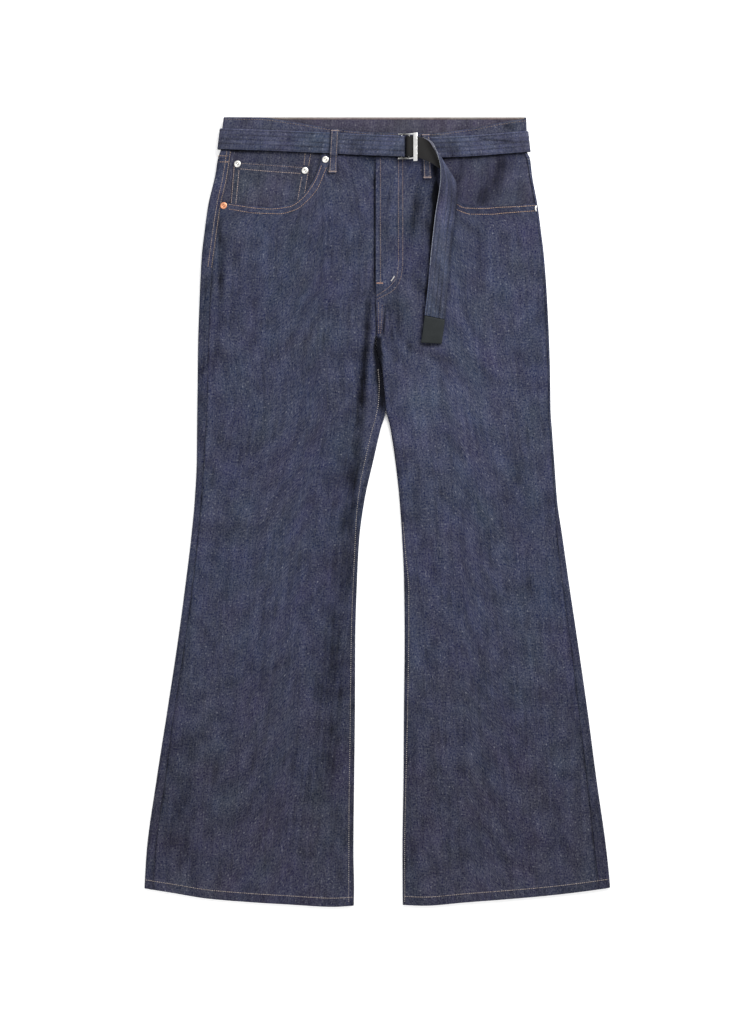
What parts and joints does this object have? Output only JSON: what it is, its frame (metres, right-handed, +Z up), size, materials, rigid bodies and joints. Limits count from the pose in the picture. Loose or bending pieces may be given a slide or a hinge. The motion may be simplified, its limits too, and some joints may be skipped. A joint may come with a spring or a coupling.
{
  "type": "wide leg jeans with belt",
  "caption": "Wide leg jeans laid flat, front up, with a denim belt round the waist through its loops, a metal buckle and a hanging dark-tipped tail.",
  "frame": {"origin": "on the surface the jeans lie on, under the middle of their bounding box", "axes": "+Y from the hems to the waist, +Z up out of the front face, +X towards the wearer's left leg"},
  "size_m": [0.6464, 1.095, 0.0259],
  "materials": {
    "denim": "dark indigo twill with a fine pale fleck, matte",
    "belt_denim": "dark indigo twill with tone on tone stitch rows, matte",
    "dark_backing": "near black, matte, fine grain",
    "buckle_metal": "polished",
    "rivet_metal": "satin silver",
    "copper_metal": "satin copper"
  },
  "bodies": {
    "root": {"front_right": "denim", "front_left": "denim", "back_right": "denim", "back_left": "denim", "yoke_right": "denim", "yoke_left": "denim", "pocket_facing_right": "denim", "pocket_facing_left": "denim", "coin_pocket": "denim", "back_pocket_right": "denim", "back_pocket_left": "denim", "waistband": "denim", "belt_loop_front_right": "denim", "belt_loop_front_left": "denim", "belt_loop_back_right": "denim", "belt_loop_back_centre": "denim", "belt_loop_back_left": "denim", "belt_strap": "belt_denim", "belt_tail": "belt_denim", "belt_tip": "dark_backing", "belt_buckle": "buckle_metal", "waist_button": "copper_metal", "rivet_coin_outer": "rivet_metal", "rivet_coin_inner": "rivet_metal", "rivet_right_inner": "rivet_metal", "rivet_right_outer": "copper_metal", "rivet_left_outer": "rivet_metal", "rivet_left_inner": "rivet_metal"}
  },
  "joints": []
}
